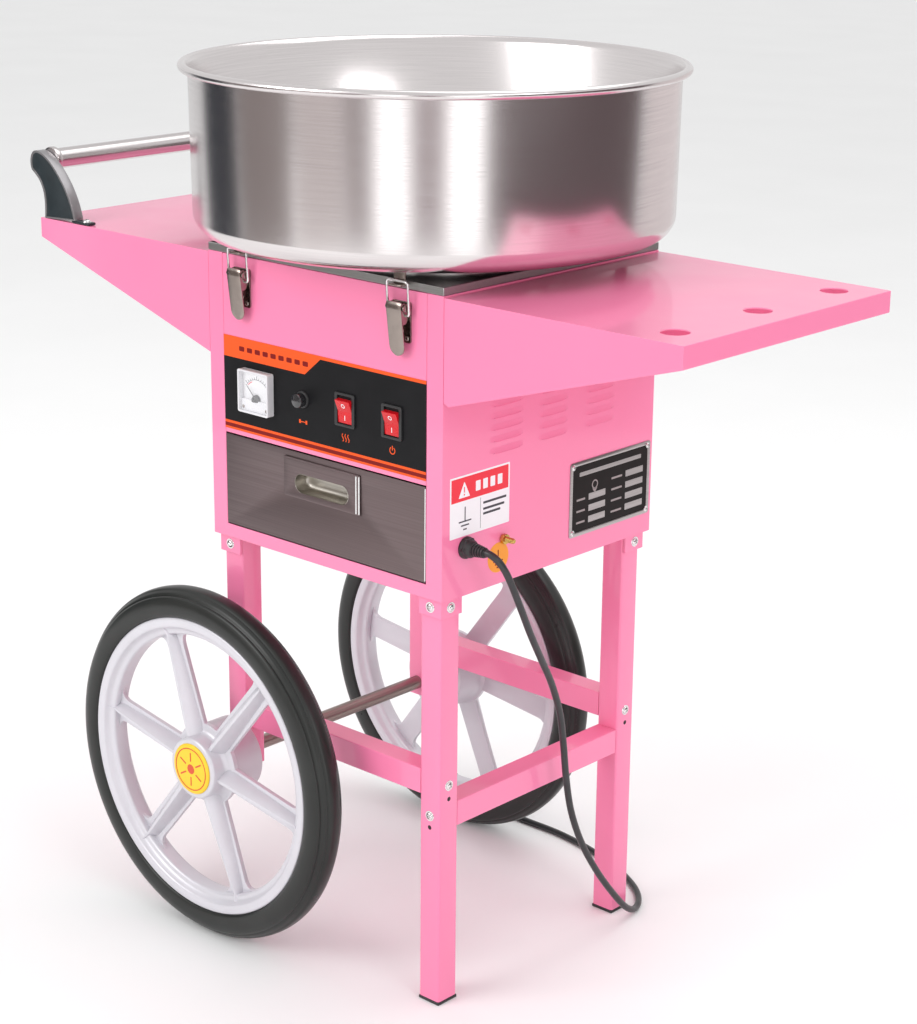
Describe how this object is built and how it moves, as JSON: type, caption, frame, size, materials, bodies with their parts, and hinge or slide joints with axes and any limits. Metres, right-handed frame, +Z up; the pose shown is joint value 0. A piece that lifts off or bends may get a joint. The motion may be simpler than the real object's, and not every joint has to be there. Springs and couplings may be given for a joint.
{
  "type": "cotton candy machine cart",
  "caption": "Cotton candy machine on a push cart: steel bowl with spinner head over a pink cabinet with drawer, switches and meter, side shelves, handle and spoked wheels.",
  "frame": {"origin": "on the floor, at the middle of the overall length and width", "axes": "+Z up; +X from the push handle towards the shelf with the cone holes; -Y is the control side"},
  "size_m": [0.9281, 0.597, 0.967],
  "materials": {
    "pink_paint": "gloss",
    "bowl_steel": "bright, fine horizontal brushing",
    "drawer_steel": "satin, vertical brushing",
    "trim_steel": "satin",
    "latch_steel": "dark bright plating",
    "chrome": "bright",
    "head_aluminium": "turned",
    "cast_metal": "painted casting",
    "wheel_silver": "metallic silver moulding",
    "tyre_rubber": "satin",
    "hub_disc": "satin print on a disc",
    "black_plastic": "fine texture",
    "bracket_black": "satin",
    "cord_rubber": "satin",
    "rocker_red": "translucent gloss",
    "control_print": "printed film",
    "dial_white": "satin",
    "window_clear": "clear",
    "earth_brass": "bright"
  },
  "bodies": {
    "cart": {"axle": "latch_steel", "back_cover": "pink_paint", "base_plate": "pink_paint", "bowl": "bowl_steel", "cabinet_shell": "pink_paint", "cable_gland": "black_plastic", "cord_coil": "cord_rubber", "cord_run": "cord_rubber", "earth_stud": "earth_brass", "foot_cap_back": "black_plastic", "foot_cap_front": "black_plastic", "front_panel": "pink_paint", "fuse_holder": "black_plastic", "handle_bracket_back": "bracket_black", "handle_bracket_front": "bracket_black", "handle_tube": "trim_steel", "heat_switch_housing": "black_plastic", "latch_base_back_left": "latch_steel", "latch_base_back_right": "latch_steel", "latch_base_front_left": "latch_steel", "latch_base_front_right": "latch_steel", "left_shelf": "pink_paint", "leg_left_back": "pink_paint", "leg_left_front": "pink_paint", "leg_right_back": "pink_paint", "leg_right_front": "pink_paint", "meter_housing": "dial_white", "motor": "cast_metal", "motor_mount": "cast_metal", "plug": "black_plastic", "power_switch_housing": "black_plastic", "rail_back": "pink_paint", "rail_front": "pink_paint", "rail_right": "pink_paint", "right_shelf": "pink_paint", "top_plate": "trim_steel"},
    "wheel_front": {"wheel_front": "wheel_silver", "tyre_front": "tyre_rubber", "hub_cap_front": "hub_disc"},
    "wheel_back": {"wheel_back": "wheel_silver", "tyre_back": "tyre_rubber", "hub_cap_back": "hub_disc"},
    "spinner_head": {"motor_shaft": "cast_metal", "head_base": "head_aluminium", "head_band": "chrome", "head_cap": "head_aluminium"},
    "drawer": {"drawer": "drawer_steel", "drawer_pull": "drawer_steel"},
    "heat_rocker": {"heat_rocker": "rocker_red"},
    "power_rocker": {"power_rocker": "rocker_red"},
    "meter_needle": {"meter_needle": "control_print"},
    "fuse_cap": {"fuse_cap": "black_plastic"},
    "latch_lever_front_left": {"latch_lever_front_left": "latch_steel"},
    "latch_bail_front_left": {"latch_bail_front_left": "latch_steel"},
    "latch_lever_front_right": {"latch_lever_front_right": "latch_steel"},
    "latch_bail_front_right": {"latch_bail_front_right": "latch_steel"},
    "latch_lever_back_left": {"latch_lever_back_left": "latch_steel"},
    "latch_bail_back_left": {"latch_bail_back_left": "latch_steel"},
    "latch_lever_back_right": {"latch_lever_back_right": "latch_steel"},
    "latch_bail_back_right": {"latch_bail_back_right": "latch_steel"}
  },
  "joints": [
    {"name": "wheel_front_spin", "type": "hinge", "parent": "cart", "child": "wheel_front", "pos_m": [-0.13895, -0.205, 0.202], "axis": [0, 1, 0], "continuous": true},
    {"name": "wheel_back_spin", "type": "hinge", "parent": "cart", "child": "wheel_back", "pos_m": [-0.13895, 0.205, 0.202], "axis": [0, 1, 0], "continuous": true},
    {"name": "head_spin", "type": "hinge", "parent": "cart", "child": "spinner_head", "pos_m": [0.00805, 0, 0.832], "axis": [0, 0, 1], "continuous": true},
    {"name": "drawer_slide", "type": "slide", "parent": "cart", "child": "drawer", "axis": [0, -1, 0], "range_m": [0, 0.22]},
    {"name": "heat_rocker_tilt", "type": "hinge", "parent": "cart", "child": "heat_rocker", "pos_m": [0.04305, -0.1623, 0.632], "axis": [-1, 0, 0], "range_deg": [0, 24]},
    {"name": "power_rocker_tilt", "type": "hinge", "parent": "cart", "child": "power_rocker", "pos_m": [0.10905, -0.1623, 0.632], "axis": [-1, 0, 0], "range_deg": [0, 24]},
    {"name": "meter_needle_swing", "type": "hinge", "parent": "cart", "child": "meter_needle", "pos_m": [-0.08595, -0.173, 0.621], "axis": [0, 1, 0], "range_deg": [0, 90], "stiffness_Nm_per_rad": 0.0005},
    {"name": "fuse_cap_turn", "type": "hinge", "parent": "cart", "child": "fuse_cap", "pos_m": [-0.01895, -0.175, 0.632], "axis": [0, 1, 0], "range_deg": [0, 90]},
    {"name": "latch_lever_front_left_swing", "type": "hinge", "parent": "cart", "child": "latch_lever_front_left", "pos_m": [-0.10695, -0.178, 0.752], "axis": [-1, 0, 0], "range_deg": [0, 120]},
    {"name": "latch_bail_front_left_swing", "type": "hinge", "parent": "latch_lever_front_left", "child": "latch_bail_front_left", "pos_m": [-0.10695, -0.1742, 0.744], "axis": [-1, 0, 0], "range_deg": [-150, 0]},
    {"name": "latch_lever_front_right_swing", "type": "hinge", "parent": "cart", "child": "latch_lever_front_right", "pos_m": [0.12305, -0.178, 0.752], "axis": [-1, 0, 0], "range_deg": [0, 120]},
    {"name": "latch_bail_front_right_swing", "type": "hinge", "parent": "latch_lever_front_right", "child": "latch_bail_front_right", "pos_m": [0.12305, -0.1742, 0.744], "axis": [-1, 0, 0], "range_deg": [-150, 0]},
    {"name": "latch_lever_back_left_swing", "type": "hinge", "parent": "cart", "child": "latch_lever_back_left", "pos_m": [-0.10695, 0.178, 0.752], "axis": [1, 0, 0], "range_deg": [0, 120]},
    {"name": "latch_bail_back_left_swing", "type": "hinge", "parent": "latch_lever_back_left", "child": "latch_bail_back_left", "pos_m": [-0.10695, 0.1742, 0.744], "axis": [1, 0, 0], "range_deg": [-150, 0]},
    {"name": "latch_lever_back_right_swing", "type": "hinge", "parent": "cart", "child": "latch_lever_back_right", "pos_m": [0.12305, 0.178, 0.752], "axis": [1, 0, 0], "range_deg": [0, 120]},
    {"name": "latch_bail_back_right_swing", "type": "hinge", "parent": "latch_lever_back_right", "child": "latch_bail_back_right", "pos_m": [0.12305, 0.1742, 0.744], "axis": [1, 0, 0], "range_deg": [-150, 0]}
  ],
  "couplings": [
    {"joint": "latch_bail_front_left_swing", "follows": "latch_lever_front_left_swing", "ratio": -1.2},
    {"joint": "latch_bail_front_right_swing", "follows": "latch_lever_front_right_swing", "ratio": -1.2},
    {"joint": "latch_bail_back_left_swing", "follows": "latch_lever_back_left_swing", "ratio": -1.2},
    {"joint": "latch_bail_back_right_swing", "follows": "latch_lever_back_right_swing", "ratio": -1.2}
  ]
}
